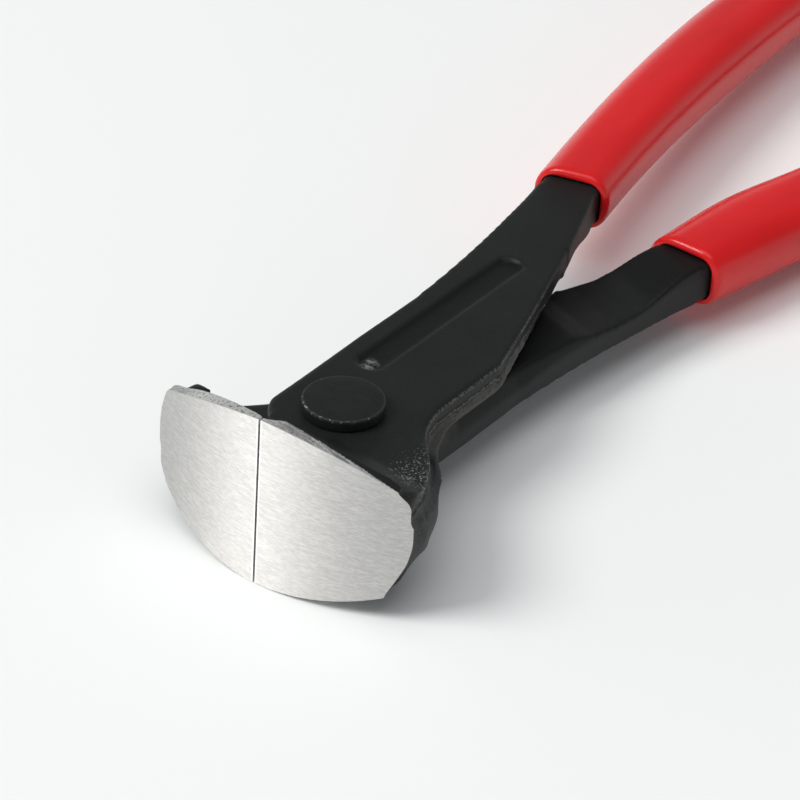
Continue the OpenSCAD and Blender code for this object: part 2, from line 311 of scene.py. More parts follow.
# %% Black oxide
OXIDE_DEEP = (0.006, 0.0065, 0.0065, 1)
OXIDE_PALE = (0.013, 0.0135, 0.0135, 1)
OXIDE_GRAIN = (0.026, 0.026, 0.0255, 1)
SCALE_GREY = (0.055, 0.055, 0.054, 1)
NECK_GREY = (0.078, 0.074, 0.068, 1)
TORN_DARK = (0.004, 0.0035, 0.003, 1)
WORN_AND_HIGHLIGHT_GREY = (0.16, 0.155, 0.145, 1)
SHADED = (0.003, 0.003, 0.003, 1)
RUBBED_GLINT = (0.20, 0.20, 0.197, 1)
DUST = (0.28, 0.28, 0.275, 1)
CREVICE_SHADE = (0.002, 0.002, 0.002, 1)
INNER_SIDE_X = (0, 4)
HEAD_Y = (50, 40)
BY_JAW_Y = (2, -3)
TORN_BAND = (0.6, 0.1)
TORN_RAG = (0.40, 0.52)
CREVICE_BAND = (0.3, 0.08)
LIP_BAND = (0.18, 0.05)
LIP_GRAIN = (0.36, 0.56)
COVERED_Z = (0.9, 0.3)
COVERED_Y = (4, 12)
GRAINY = (0.52, 0.72)


def black_oxide(name, turn):
    skin = Finish(name)
    x, y, z = skin.axes(turn)
    where = skin.join(x, y, z)
    cloud = skin.clouds(where, scale=0.16, detail=3.0)
    grain = skin.clouds(where, scale=3.2, detail=4.0, roughness=0.65)
    rag = skin.clouds(where, scale=0.55, detail=4.0, roughness=0.7)
    head = skin.ramp(x, *INNER_SIDE_X) * skin.ramp(y, *HEAD_Y)
    by_jaw = skin.ramp(y, *BY_JAW_Y)
    level = parting_level(skin, y, z, by_jaw, rag)
    from_line = abs(level)
    torn = skin.ramp(from_line, *TORN_BAND) * skin.ramp(rag, *TORN_RAG) * head
    # Beside the jaw the parting line is painted near-black, as the shade inside a crevice.
    crevice_shade = skin.ramp(from_line, *CREVICE_BAND) * head * by_jaw
    lip = skin.ramp(from_line, *LIP_BAND) * skin.ramp(grain, *LIP_GRAIN)
    lip = lip * head * skin.ramp(y, *BEHIND_JAW_Y)
    # A grey line under the plate's upper edge, painted as a highlight.
    edge = painted_edge_highlight(skin, y, z, grain) * head
    scale, neck_scale = wall_scale(skin, x, y, z, level, grain)
    sunk, rub_glint = sunk_panel(skin, x, y, z, rag)
    # Painted shade on the lap side, where the other lever lies over it.
    covered = skin.ramp(z, *COVERED_Z) * skin.ramp(y, *COVERED_Y)
    layers = (
        (OXIDE_PALE, cloud),
        (OXIDE_GRAIN, 0.45 * skin.ramp(grain, *GRAINY)),
        (SCALE_GREY, scale),
        (NECK_GREY, neck_scale),
        (TORN_DARK, 0.6 * torn * (1 - by_jaw)),
        # Worn grey on the lip along the neck, and the painted highlight under the plate's edge.
        (WORN_AND_HIGHLIGHT_GREY, 0.7 * lip + 0.6 * edge),
        # Painted shade in the sunk panel and on the lap side.
        (SHADED, 0.6 * sunk + 0.7 * covered),
        # A rubbed patch at the panel's front end, painted bright as a glint.
        (RUBBED_GLINT, 0.8 * rub_glint),
        (DUST, 0.8 * jaw_dust(skin, x, y, z)),
        (CREVICE_SHADE, 0.95 * crevice_shade),
    )
    relief = 0.6 * grain + 0.9 * cloud + 1.5 * torn * rag
    return skin.surface(
        Base_Color=skin.coats(OXIDE_DEEP, layers),
        Roughness=0.38 + 0.2 * grain + 0.15 * torn + 0.1 * scale,
        Specular_IOR_Level=0.19,
        Normal=skin.bump(relief, depth=0.06 * MM, strength=0.55),
    )


upper_black = black_oxide("black_oxide_upper", 0)
lower_black = black_oxide("black_oxide_lower", math.pi)
print("made", upper_black.name, "and", lower_black.name)

# %% [markdown]
# The jaw faces were ground bright on a wheel that ran across the seam. That leaves short, fine scratches
# along X, a slow change of tone where the wheel bit more or less, and a burr where the grinding ends at
# the seam, whose thin bright line is a painted highlight. The scratches are noise that is stretched
# along X and squeezed along Z, in the colour, the roughness and the bump alike.

# %% Ground faces
CROWN_R = 36
JAW_REACH = 16.5
EDGE_BURR = 0.45
FACE_LOW = (0.62, 0.605, 0.59, 1)
FACE_MID = (0.70, 0.685, 0.67, 1)
FACE_HIGH = (0.82, 0.805, 0.79, 1)
FACE_BURR_HIGHLIGHT = (0.93, 0.93, 0.92, 1)
STREAKY = (0.38, 0.66)
crown_y = CROWN_R - JAW_REACH


def scratches(steel, axes, along, across, slant, detail, roughness):
    """Noise drawn out along X and Y and packed close along Z, at a slight slant."""
    x, y, z = axes
    where = steel.join(along * x, along * y, across * z + slant * x)
    return steel.clouds(where, 1.0, detail, roughness)


def ground_face(name, turn):
    steel = Finish(name)
    axes = steel.axes(turn)
    x, y, z = axes
    fine = scratches(steel, axes, along=1.3, across=9, slant=0.5, detail=3.0, roughness=0.65)
    coarse = scratches(steel, axes, along=0.5, across=3, slant=0.2, detail=2.0, roughness=0.55)
    tone = steel.clouds(steel.join(x, y, 1.6 * z), scale=0.14, detail=2.0)
    streak = 0.7 * fine + 0.3 * coarse
    crown = from_axis(x, y - crown_y)
    # The burr's thin bright line along the seam is a painted highlight.
    burr_highlight = steel.ramp(x, EDGE_BURR, 0.5 * EDGE_BURR) * steel.ramp(crown, CROWN_R - EDGE_BURR, CROWN_R)
    layers = (
        (FACE_MID, tone),
        (FACE_HIGH, steel.ramp(streak, *STREAKY)),
        (FACE_BURR_HIGHLIGHT, 0.8 * burr_highlight),
    )
    return steel.surface(
        Base_Color=steel.coats(FACE_LOW, layers),
        Metallic=1.0,
        Roughness=0.53 + 0.12 * (1 - streak),
        Anisotropic=0.88,
        Anisotropic_Rotation=0.25,
        Normal=steel.bump(streak, depth=0.02 * MM, strength=0.5),
    )


upper_face = ground_face("ground_face_upper", 0)
lower_face = ground_face("ground_face_lower", math.pi)
print("made", upper_face.name, "and", lower_face.name)

# %% [markdown]
# Along the rims of each face runs a narrow strip, touched by the wheel only in passing. It is streaked
# and pitted; a painted sheen brightens it near the seam, and much further along on the lower lever,
# which tilts towards the key lamp. Where it ends at the face its burr is a painted highlight, and on the
# upper rim it runs out where the wheel missed the forging and left it black. Mapping those along the
# edge would need a UV map, but the distance from the face's own axis gives the strip's width directly.

# %% Ground strips
STRIP_W = 2.0
STRIP_RUN_OUT = 16.5
# How far along the strip the painted sheen reaches, on each lever.
UPPER_SHEEN_TO = 2
LOWER_SHEEN_TO = 12
SHEEN_BLEND = 3
STRIP_BURR = (0.22, 0.06)
STRIP_MISSED = (-0.05, 0.1)
STRIP_GRAIN = (0.36, 0.62)
STRIP_FLECK = (0.58, 0.68)
STRIP_HOLE = (0.60, 0.67)
STRIP_DARK = (0.27, 0.267, 0.257, 1)
STRIP_LIGHT = (0.76, 0.755, 0.73, 1)
FLECK_LIGHT = (0.78, 0.77, 0.73, 1)
PAINTED_SHEEN = (0.90, 0.89, 0.86, 1)
HOLE_DARK = (0.10, 0.098, 0.09, 1)
BURR_HIGHLIGHT = (0.88, 0.87, 0.85, 1)
LEFT_BLACK = (0.012, 0.0125, 0.0125, 1)


def ground_strip(name, turn, sheen_to):
    steel = Finish(name)
    x, y, z = steel.axes(turn)
    pit = steel.clouds(steel.join(x, y, z), scale=2.6, detail=3.0, roughness=0.7)
    hole = steel.clouds(steel.join(1.2 * x, 1.2 * y, 3.1 * z), scale=2.0, detail=3.0, roughness=0.7)
    drag = steel.clouds(steel.join(0.25 * x, 3.5 * y, 0.5 * z), scale=1.0, detail=3.0)
    inside_face = CROWN_R - from_axis(x, y - crown_y)
    # The burr where the strip meets the face is painted bright, as a highlight.
    burr_highlight = steel.ramp(inside_face, *STRIP_BURR)
    # A painted sheen near the seam, reaching further on the lower lever, which tilts towards the key lamp.
    painted_sheen = steel.ramp(x, sheen_to + SHEEN_BLEND, sheen_to - SHEEN_BLEND)
    width = STRIP_W * (1 - x / STRIP_RUN_OUT) + 0.5 * (pit - 0.5)
    missed = steel.ramp(inside_face - width, *STRIP_MISSED) * steel.ramp(z, 0, 1)
    layers = (
        (STRIP_LIGHT, steel.ramp(0.7 * drag + 0.3 * pit, *STRIP_GRAIN)),
        (FLECK_LIGHT, 0.8 * steel.ramp(pit + 0.08 * painted_sheen, *STRIP_FLECK)),
        (PAINTED_SHEEN, 0.75 * painted_sheen),
        (HOLE_DARK, 0.75 * steel.ramp(hole + 0.06 * painted_sheen, *STRIP_HOLE)),
        (BURR_HIGHLIGHT, 0.85 * burr_highlight),
        (LEFT_BLACK, missed),
    )
    return steel.surface(
        Base_Color=steel.coats(STRIP_DARK, layers),
        Metallic=1 - missed,
        Roughness=0.42 + 0.2 * pit,
        Specular_IOR_Level=0.2,
        Normal=steel.bump(0.5 * drag + pit, depth=0.04 * MM, strength=0.6),
    )


upper_strip = ground_strip("ground_strip_upper", 0, UPPER_SHEEN_TO)
lower_strip = ground_strip("ground_strip_lower", math.pi, LOWER_SHEEN_TO)
print("made", upper_strip.name, "and", lower_strip.name)

# %% [markdown]
# A lever is a drop forging: every edge is soft, except where a wheel ground it afterwards. It could be
# modelled edge by edge with bevels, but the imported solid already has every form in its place. So a copy
# of it is merged and left a little long wherever it will be ground. The tang, which the sleeve hides,
# is cut off and kept plain.

# %% Rough forging
FACE_H = 23
RIM_R = 32
FREE_RIM_R = 41
GRIND_LEFT = 0.9
EDGE_LEFT = 0.8
CUTTING_EDGE_X = 0.15
JAW_BACK_Y = -8
RIM_FROM_Z = 5
SHANK_CUT_Y = 70
TOUCH = 0.03
MERGE = 0.002


def points_of(mesh):
    """The mesh's points as an array, in millimetres about the pivot."""
    flat = np.empty(3 * len(mesh.vertices), np.float32)
    mesh.vertices.foreach_get("co", flat)
    return (flat.reshape(-1, 3).astype(float) - np.array(pivot)) / MM


def put_points(mesh, points):
    flat = (points * MM + np.array(pivot)).astype(np.float32)
    mesh.vertices.foreach_set("co", flat.ravel())
    mesh.update()


def mesh_from(bm, name):
    """Ends a bmesh as a new mesh."""
    mesh = bpy.data.meshes.new(name)
    bm.to_mesh(mesh)
    bm.free()
    return mesh


def merged_copy(node):
    mesh = frame["nodes"][node].data.copy()
    mesh.materials.clear()
    bm = bmesh.new()
    bm.from_mesh(mesh)
    bmesh.ops.remove_doubles(bm, verts=bm.verts[:], dist=MERGE * MM)
    bm.to_mesh(mesh)
    bm.free()
    return mesh


def leave_metal_for_grinding(mesh):
    """Moves face, rims and cutting edge outwards, so that the smoothed forging is still too big there."""
    p = points_of(mesh)
    jaw = p[:, 1] < JAW_BACK_Y
    out = np.zeros_like(p)
    from_crown = p[:, :2] - (0, crown_y)
    crown = np.linalg.norm(from_crown, axis=1)
    on_face = jaw & (abs(crown - CROWN_R) < TOUCH)
    out[on_face, :2] += GRIND_LEFT * from_crown[on_face] / crown[on_face, None]
    for radius, side in ((RIM_R, 1), (FREE_RIM_R, -1)):
        from_rim = p[:, [0, 2]] - (0, side * (FACE_H / 2 - radius))
        rim = np.linalg.norm(from_rim, axis=1)
        on_rim = jaw & (abs(rim - radius) < TOUCH) & (side * p[:, 2] > RIM_FROM_Z)
        out[np.ix_(on_rim, [0, 2])] += GRIND_LEFT * from_rim[on_rim] / rim[on_rim, None]
        print("points on the rim of radius", radius, "mm:", int(on_rim.sum()))
    on_edge = jaw & (abs(p[:, 0] - CUTTING_EDGE_X) < TOUCH)
    out[on_edge, 0] -= EDGE_LEFT
    print("points on the face:", int(on_face.sum()), "and on the cutting edge:", int(on_edge.sum()))
    put_points(mesh, p + out)


def cut_across(mesh, keep_front):
    """Keeps the part of the lever in front of or behind the cut, and closes it."""
    bm = bmesh.new()
    bm.from_mesh(mesh)
    cut = bmesh.ops.bisect_plane(
        bm,
        geom=bm.verts[:] + bm.edges[:] + bm.faces[:],
        plane_co=(0, SHANK_CUT_Y * MM, 0),
        plane_no=(0, 1, 0),
        clear_outer=keep_front,
        clear_inner=not keep_front,
    )
    edges = [e for e in cut["geom_cut"] if isinstance(e, bmesh.types.BMEdge)]
    bmesh.ops.holes_fill(bm, edges=edges, sides=0)
    return mesh_from(bm, "part")


solid = merged_copy("upper_lever")
leave_metal_for_grinding(solid)
tang = cut_across(solid, False)
rough = cut_across(solid, True)
print("rough forging has", len(rough.polygons), "faces")

# %% [markdown]
# Below the parting line the forging draws in towards the lap, as a drop forging must to leave its die.
# A taper on an extrusion would draw in all round, but here it is deepest at the neck and runs out at the
# jaw. So a wedge is swept along each side, with its depth given place by place, to be cut away later.

# %% Draft
SIDE_X = 9.2
NECK_R = 17.2
NECK_Y = 12.5
FACE_W = 37
CORNER = Vector((SIDE_X, 20.4))
SHANK = Vector((-5.1, 62.9))
FLANK_START = 18.5
CROTCH_SHARE = 0.62
INNER_PLACES = (-6, -5, -2, 0, 6, 12, 20, 40, 47)
INNER_DEPTHS = (0, 0, 2.2, 2.3, 1.6, 1.3, 1.2, 0.8, 0)
PLATE_SIDE = Vector((-8.4, 8))
STRAIGHT_END = Vector((-8.4, 26))
OUTER_SHANK = Vector((-12.9, 61.1))
TANG_SHARE = 0.1
OUTER_PLACES = (8, 14, 44, 56)
OUTER_DEPTHS = (0, 1.5, 1.7, 0)
OUTER_PARTING_Z = 2.3
ARC_STEPS = 24
LINE_STEPS = 12
SIDE_STEPS = 10
WEDGE_IN = 0.05
WEDGE_OUT = 3
LAP_CUT = -0.3


def on_arc(centre, radius, degrees):
    turn = math.radians(degrees)
    return centre + radius * Vector((math.cos(turn), math.sin(turn)))


def inner_path():
    """The inner edge of the head below its parting line, from the jaw's end to the crotch."""
    reach = NECK_R + FLANK_R
    turn = math.degrees(math.acos((SIDE_X + reach - FACE_W / 2) / reach))
    neck = Vector((SIDE_X + NECK_R, NECK_Y))
    flank = on_arc(neck, reach, 180 + turn)
    path = [on_arc(flank, FLANK_R, t) for t in np.linspace(FLANK_START, turn, ARC_STEPS)]
    path += [on_arc(neck, NECK_R, 180 + t) for t in np.linspace(turn, 0, ARC_STEPS)[1:]]
    path += [CORNER.lerp(SHANK, t) for t in np.linspace(0, CROTCH_SHARE, LINE_STEPS)]
    return path


def outer_path():
    """The outer edge of the plate, from the tang to beside the boss."""
    path = [OUTER_SHANK.lerp(STRAIGHT_END, t) for t in np.linspace(TANG_SHARE, 1, LINE_STEPS)]
    path += [STRAIGHT_END.lerp(PLATE_SIDE, t) for t in np.linspace(0, 1, SIDE_STEPS)[1:]]
    return path


def scratch_object(name, mesh):
    made = bpy.data.objects.new(name, mesh)
    bpy.context.scene.collection.objects.link(made)
    return made


def closed_sweep(name, rings):
    """Bridges closed rings of points, given in millimetres about the pivot, into a solid."""
    bm = bmesh.new()
    loops = []
    for ring in rings:
        verts = [bm.verts.new(Vector(spot) * MM + pivot) for spot in ring]
        loops.append([bm.edges.new((verts[k - 1], verts[k])) for k in range(len(verts))])
    for first, second in zip(loops, loops[1:]):
        bmesh.ops.bridge_loops(bm, edges=first + second)
    bmesh.ops.holes_fill(bm, edges=[e for e in bm.edges if e.is_boundary], sides=0)
    bmesh.ops.recalc_face_normals(bm, faces=bm.faces[:])
    print(name, "has", len(rings), "rings")
    return scratch_object(name, mesh_from(bm, name))


def draft_wedge(name, path, places, depths, parting):
    rings = []
    for i, spot in enumerate(path):
        way = (path[min(i + 1, len(path) - 1)] - path[max(i - 1, 0)]).normalized()
        outward = Vector((way.y, -way.x))
        depth = float(np.interp(spot.y, places, depths))
        corners = (
            (WEDGE_IN, parting),
            (WEDGE_OUT, parting),
            (WEDGE_OUT, LAP_CUT),
            (WEDGE_IN - depth, LAP_CUT),
        )
        rings.append([(*(spot + off * outward), height) for off, height in corners])
    return closed_sweep(name, rings)


inner_draft = draft_wedge("inner_draft", inner_path(), INNER_PLACES, INNER_DEPTHS, PARTING_Z)
outer_draft = draft_wedge("outer_draft", outer_path(), OUTER_PLACES, OUTER_DEPTHS, OUTER_PARTING_Z)

# %% [markdown]
# Past the crotch the lap side is hollowed, and then rises to the full tang in a soft ramp. Sculpting
# would do it by eye, but a side view of the hollow, drawn point by point and bridged across the handle,
# is one more block to cut away. One Boolean modifier per block takes all three out, the hollow first.

# %% Crotch hollow
SCOOP = (
    (36, -0.45),
    (42, 0.9),
    (47, 1.35),
    (51, 1.3),
    (54, 0.7),
    (57, -0.25),
    (60, -1.0),
    (63, -1.4),
    (63, -6),
    (36, -6),
)
SCOOP_MID_X = -7
SCOOP_HALF_W = 30
SCOOP_TURN = math.radians(22)


def crotch_scoop():
    """The block under the hollow and ramp on the lap side, square to the handle."""
    across = Vector((math.cos(SCOOP_TURN), math.sin(SCOOP_TURN)))
    rings = []
    for side in (-SCOOP_HALF_W, SCOOP_HALF_W):
        rings.append([(*(Vector((SCOOP_MID_X, y)) + side * across), z) for y, z in SCOOP])
    return closed_sweep("crotch_scoop", rings)


def apply_modifiers(obj):
    graph = bpy.context.evaluated_depsgraph_get()
    mesh = bpy.data.meshes.new_from_object(obj.evaluated_get(graph))
    obj.modifiers.clear()
    obj.data = mesh
    return mesh


def cut_away(mesh, tools):
    """Takes the tools out of the mesh, one Boolean after another, and throws them away."""
    holder = scratch_object("work", mesh)
    for tool in tools:
        cut = holder.modifiers.new(tool.name, "BOOLEAN")
        cut.operation = "DIFFERENCE"
        cut.solver = "EXACT"
        cut.object = tool
    result = apply_modifiers(holder)
    for scrap in [holder, *tools]:
        bpy.data.objects.remove(scrap)
    return result


drafted = cut_away(rough, [crotch_scoop(), inner_draft, outer_draft])
print("drafted forging has", len(drafted.polygons), "faces")

# %% [markdown]
# Forged edges are round because hot steel doesn't fill a sharp corner of the die. Bevels would have to be
# chosen edge by edge, and Booleans leave faces that bevel badly. So the block gets an even skin of small
# faces from a voxel Remesh, and smoothing it pass after pass rounds every edge. How many passes a place
# gets decides how soft it is.

# %% Soft skin
VOXEL = 0.25
SMOOTH_PASSES = 8
RECESS_PASSES = 2
CORNER_PASSES = 26
FACE_PASSES = 3
BORE_ZONE = 5.6
RECESS_ZONE_X = (-6.6, -0.8)
RECESS_ZONE_Y = (8, 44)
RECESS_ZONE_Z = 3.6
JAW_END_X = 15
JAW_END_Z = (-9, 4.5)
BOSS_X = -6.2
BOSS_FRONT_Y = -7
BOSS_BLEND_Y = (14, 2)
SHANK_BLEND_Y = (50, 58)


def even_skin(mesh):
    """A closed skin of even quads over the mesh."""
    holder = scratch_object("skin", mesh)
    remesh = holder.modifiers.new("skin", "REMESH")
    remesh.mode = "VOXEL"
    remesh.voxel_size = VOXEL * MM
    skin = apply_modifiers(holder)
    bpy.data.objects.remove(holder)
    return skin


def inside(value, span):
    return span[0] < value < span[1]


def part_way(value, empty, full):
    """0 at empty, 1 at full and a straight line between."""
    return min(1, max(0, (value - empty) / (full - empty)))


def passes_at(x, y, z):
    """How often a place is smoothed: seldom at the face and in the recess, often on worn corners."""
    if math.hypot(x, y) < BORE_ZONE:
        return 0
    if inside(x, RECESS_ZONE_X) and inside(y, RECESS_ZONE_Y) and z > RECESS_ZONE_Z:
        return RECESS_PASSES
    if x > JAW_END_X and inside(z, JAW_END_Z):
        return CORNER_PASSES
    by_boss = x < BOSS_X and y > BOSS_FRONT_Y
    boss = part_way(y, *BOSS_BLEND_Y) if by_boss else 0
    shank = part_way(y, *SHANK_BLEND_Y)
    more = max(boss, shank) * (CORNER_PASSES - SMOOTH_PASSES)
    behind_face = CROWN_R - math.hypot(x, y - crown_y)
    return min(SMOOTH_PASSES, behind_face + FACE_PASSES) + more


def soften(mesh):
    """Rounds the edges by smoothing, pass after pass."""
    bm = bmesh.new()
    bm.from_mesh(mesh)
    passes = {v: passes_at(*((v.co - pivot) / MM)) for v in bm.verts}
    for i in range(CORNER_PASSES):
        bmesh.ops.smooth_vert(
            bm,
            verts=[v for v in bm.verts if passes[v] > i],
            factor=0.5,
            use_axis_x=True,
            use_axis_y=True,
            use_axis_z=True,
        )
    bm.to_mesh(mesh)
    bm.free()


forging = even_skin(drafted)
soften(forging)
print("forging has", len(forging.polygons), "faces")

# %% [markdown]
# Along the parting line the trimmed flash stands out in a ragged ridge. Behind the jaw's face the flank
# has a slight belly, and a full foot towards the jaw's lower end. They are small moves of the skin's
# points: no operator knows where a die parts, but the height above the lap plane does.

# %% Flash
FLASH_OUT = 0.18
FLASH_HALF = 0.45
FLASH_SWAY = 0.35
FLASH_MOST = 1.6
FLASH_MEAN = 0.6
FLASH_VARY = 1.2
RAG_SIZE = 0.6
RAG_FALL = 0.6
RAG_STEP = 2.0
RAG_OCTAVES = 4
BELLY_OUT = 0.8
BELLY_Z = 0
BELLY_HALF = 2.4
BELLY_X = (11, 14)
FOOT_OUT = 1.7
FOOT_Z = -7.8
FOOT_HALF = 2.1
FOOT_X = (7, 10)
FULL_BEHIND_FACE = (0.3, 2.5)
FULL_Y = (4, -2)
UPRIGHT = (0.5, 0.9)
FACING_X = 0.2
FLASH_FROM_X = 3
FLASH_TO_Y = 44
LEAST_UPRIGHT = 0.001


def smooth_step(value, low, high):
    t = np.clip((value - low) / (high - low), 0, 1)
    return t * t * (3 - 2 * t)


def bell(off, half):
    """1 in the middle, falling smoothly on both sides."""
    return np.exp(-((off / half) ** 2))


def level_normals(mesh):
    """Each point's normal in the XY plane, at unit length, and how upright the skin stands there."""
    flat = np.empty(3 * len(mesh.vertices), np.float32)
    mesh.vertex_normals.foreach_get("vector", flat)
    level = flat.reshape(-1, 3).astype(float)[:, :2]
    upright = np.linalg.norm(level, axis=1)
    return level / np.maximum(upright, LEAST_UPRIGHT)[:, None], upright


def raise_flash(mesh):
    p = points_of(mesh)
    level, upright = level_normals(mesh)
    inner_side = (level[:, 0] > FACING_X) * (p[:, 0] > FLASH_FROM_X) * (p[:, 1] < FLASH_TO_Y)
    spots = [Vector(q) * RAG_SIZE for q in p]
    rag = np.array([noise.fractal(spot, RAG_FALL, RAG_STEP, RAG_OCTAVES) for spot in spots])
    ridge = bell(p[:, 2] - PARTING_Z - FLASH_SWAY * rag, FLASH_HALF)
    ridge = smooth_step(upright, *UPRIGHT) * inner_side * FLASH_OUT * ridge
    out = ridge * np.clip(FLASH_MEAN + FLASH_VARY * rag, 0, FLASH_MOST)
    belly = BELLY_OUT * bell(p[:, 2] - BELLY_Z, BELLY_HALF) * smooth_step(p[:, 0], *BELLY_X)
    foot = FOOT_OUT * bell(p[:, 2] - FOOT_Z, FOOT_HALF) * smooth_step(p[:, 0], *FOOT_X)
    behind_face = CROWN_R - np.hypot(p[:, 0], p[:, 1] - crown_y)
    near_jaw = smooth_step(p[:, 1], *FULL_Y)
    p[:, 0] += (belly + foot) * smooth_step(behind_face, *FULL_BEHIND_FACE) * near_jaw
    p[:, :2] += out[:, None] * level
    put_points(mesh, p)
    print("flash stands out by up to", round(out.max(), 2), "mm")


raise_flash(forging)

# %% [markdown]
# Now the grinding. A wheel is a stretch of a thick ring: its inside radius is the radius of the ground
# surface. Each ring is spun from a small rectangle and taken out of the forging by a Boolean modifier,
# which also gives the new faces the wheel's own material number, so face and strips come out with sharp
# borders.

# %% Grinding wheels
BLACK = 0
FACE = 1
STRIP = 2
WHEEL_WALL = 5
WHEEL_STEPS = 96
WHEEL_SWEEP = 56
RIM_START = 8
RIM_HALF_WIDTH = 6
RIM_MID_Y = -15
FACE_START = 12
FACE_HALF_WIDTH = 16
STONE_SIZE = Vector((4, 7.2, 30))
STONE_Y = -17
Z_UP = Vector((0, 0, 1))
Y_BACK = Vector((0, 1, 0))
RIM_CENTRE = Vector((0, 0, FACE_H / 2 - RIM_R))
FACE_CENTRE = Vector((0, crown_y, 0))


def ground_tool(name, bm, finish_index):
    """Makes a scratch object of a bmesh, all of one finish."""
    for face in bm.faces:
        face.material_index = finish_index
    return scratch_object(name, mesh_from(bm, name))


def wheel(name, centre, axis, start, sweep, radius, half_width, mid, finish_index):
    """A stretch of a ring about an axis through centre; start and axis are unit vectors at right angles."""
    bm = bmesh.new()
    corners = []
    for out, along in ((0, -1), (WHEEL_WALL, -1), (WHEEL_WALL, 1), (0, 1)):
        at = centre + (radius + out) * start + (mid + along * half_width) * axis
        corners.append(bm.verts.new(at * MM + pivot))
    edges = [bm.edges.new((corners[i - 1], corners[i])) for i in range(4)]
    bmesh.ops.spin(
        bm,
        geom=edges,
        cent=centre * MM + pivot,
        axis=axis,
        angle=math.radians(sweep),
        steps=WHEEL_STEPS,
    )
    bmesh.ops.holes_fill(bm, edges=[e for e in bm.edges if e.is_boundary], sides=4)
    bmesh.ops.recalc_face_normals(bm, faces=bm.faces[:])
    return ground_tool(name, bm, finish_index)


def turned(vector, axis, degrees):
    return Matrix.Rotation(math.radians(degrees), 3, axis) @ vector


def edge_stone():
    """The flat stone that squares the cutting edge along the seam."""
    bm = bmesh.new()
    bmesh.ops.create_cube(bm, size=1)
    middle = Vector((CUTTING_EDGE_X - STONE_SIZE.x / 2, STONE_Y, 0)) * MM + pivot
    bmesh.ops.scale(bm, vec=STONE_SIZE * MM, verts=bm.verts[:])
    bmesh.ops.translate(bm, vec=middle, verts=bm.verts[:])
    return ground_tool("edge_stone", bm, STRIP)


def free_rim_centre(radius, shift):
    """Centre of a rim wheel that meets the seam at the face's height, shifted past the seam."""
    return Vector((-shift, 0, math.sqrt(radius * radius - shift * shift) - FACE_H / 2))


def rim_wheel(name, centre, radius, side):
    """A wheel for the upper rim, side 1, or the free rim, side -1."""
    start = turned(side * Z_UP, Y_BACK, -side * RIM_START)
    sweep = side * WHEEL_SWEEP
    return wheel(name, centre, Y_BACK, start, sweep, radius, RIM_HALF_WIDTH, RIM_MID_Y, STRIP)


def face_wheel():
    start = turned(-Y_BACK, Z_UP, -FACE_START)
    return wheel("face_wheel", FACE_CENTRE, Z_UP, start, WHEEL_SWEEP, CROWN_R, FACE_HALF_WIDTH, 0, FACE)


def stones(free_centre, free_radius):
    return [
        edge_stone(),
        rim_wheel("rim_wheel", RIM_CENTRE, RIM_R, 1),
        rim_wheel("free_rim_wheel", free_centre, free_radius, -1),
        face_wheel(),
    ]


print("wheels grind the face to a radius of", CROWN_R, "mm and the rim to", RIM_R, "mm")

# %% [markdown]
# A Boolean leaves long thin faces, and smooth shading across those would show as stripes. A second
# remesh would blur the crisp borders. But the ground surfaces are exact cylinders, so every corner of a
# ground face is simply given its cylinder's own normal.

# %% Grinding
LOWER_FREE_RIM_R = 39
LOWER_FREE_SHIFT = 3.1
SHARP_ANGLE = math.radians(32)


def ground_normals(mesh, free_centre, free_radius):
    """Sets the normals of the ground faces to those of the wheels; the others stay free."""
    p = points_of(mesh)
    corners = np.empty(len(mesh.loops), np.int32)
    mesh.loops.foreach_get("vertex_index", corners)
    normals = np.zeros((len(mesh.loops), 3))
    rims = ((RIM_CENTRE, RIM_R), (free_centre, free_radius))
    for face in mesh.polygons:
        if face.material_index == BLACK:
            continue
        loops = list(face.loop_indices)
        spots = p[corners[loops]]
        if face.material_index == FACE:
            normals[loops, :2] = (spots - FACE_CENTRE)[:, :2] / CROWN_R
            continue
        for centre, radius in rims:
            out = (spots - centre)[:, [0, 2]] / radius
            if abs(np.linalg.norm(out, axis=1) - 1).max() < TOUCH / radius:
                normals[np.ix_(loops, [0, 2])] = out
    mesh.normals_split_custom_set(normals.tolist())


def sharp_borders(bm):
    """Shades the skin smooth, but keeps the borders between two finishes sharp."""
    for edge in bm.edges:
        kinds = {face.material_index for face in edge.link_faces}
        flat_enough = kinds == {BLACK} or edge.calc_face_angle(0) < SHARP_ANGLE
        edge.smooth = len(kinds) == 1 and flat_enough
    for face in bm.faces:
        face.smooth = True


def finished_lever(finishes, free_radius, free_shift):
    """Grinds a copy of the forging, joins the tang to it and shades it."""
    free_centre = free_rim_centre(free_radius, free_shift)
    blank = forging.copy()
    for finish in finishes:
        blank.materials.append(finish)
    mesh = cut_away(blank, stones(free_centre, free_radius))
    bm = bmesh.new()
    bm.from_mesh(mesh)
    bm.from_mesh(tang)
    sharp_borders(bm)
    bm.to_mesh(mesh)
    bm.free()
    ground_normals(mesh, free_centre, free_radius)
    numbers = np.zeros(len(mesh.polygons), np.int32)
    mesh.polygons.foreach_get("material_index", numbers)
    print("faces that are black, face and strip:", np.bincount(numbers).tolist())
    return mesh


upper_finishes = (upper_black, upper_face, upper_strip)
lower_finishes = (lower_black, lower_face, lower_strip)
upper_mesh = finished_lever(upper_finishes, FREE_RIM_R, 0)
lower_mesh = finished_lever(lower_finishes, LOWER_FREE_RIM_R, LOWER_FREE_SHIFT)

# %% [markdown]
# Both levers are the same forging, ground one at a time. The lower one is turned half a turn about the
# long axis. Turning its object would do for a render, but the place of a finished piece belongs in its
# mesh, so the mesh is turned.

# %% Both levers


def dress(name, mesh, body, node):
    piece = bpy.data.objects.new(name, mesh)
    bpy.context.scene.collection.objects.link(piece)
    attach(piece, body)
    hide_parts(node)
    print(name, "rides on", body, "with", len(mesh.polygons), "faces")
    return piece


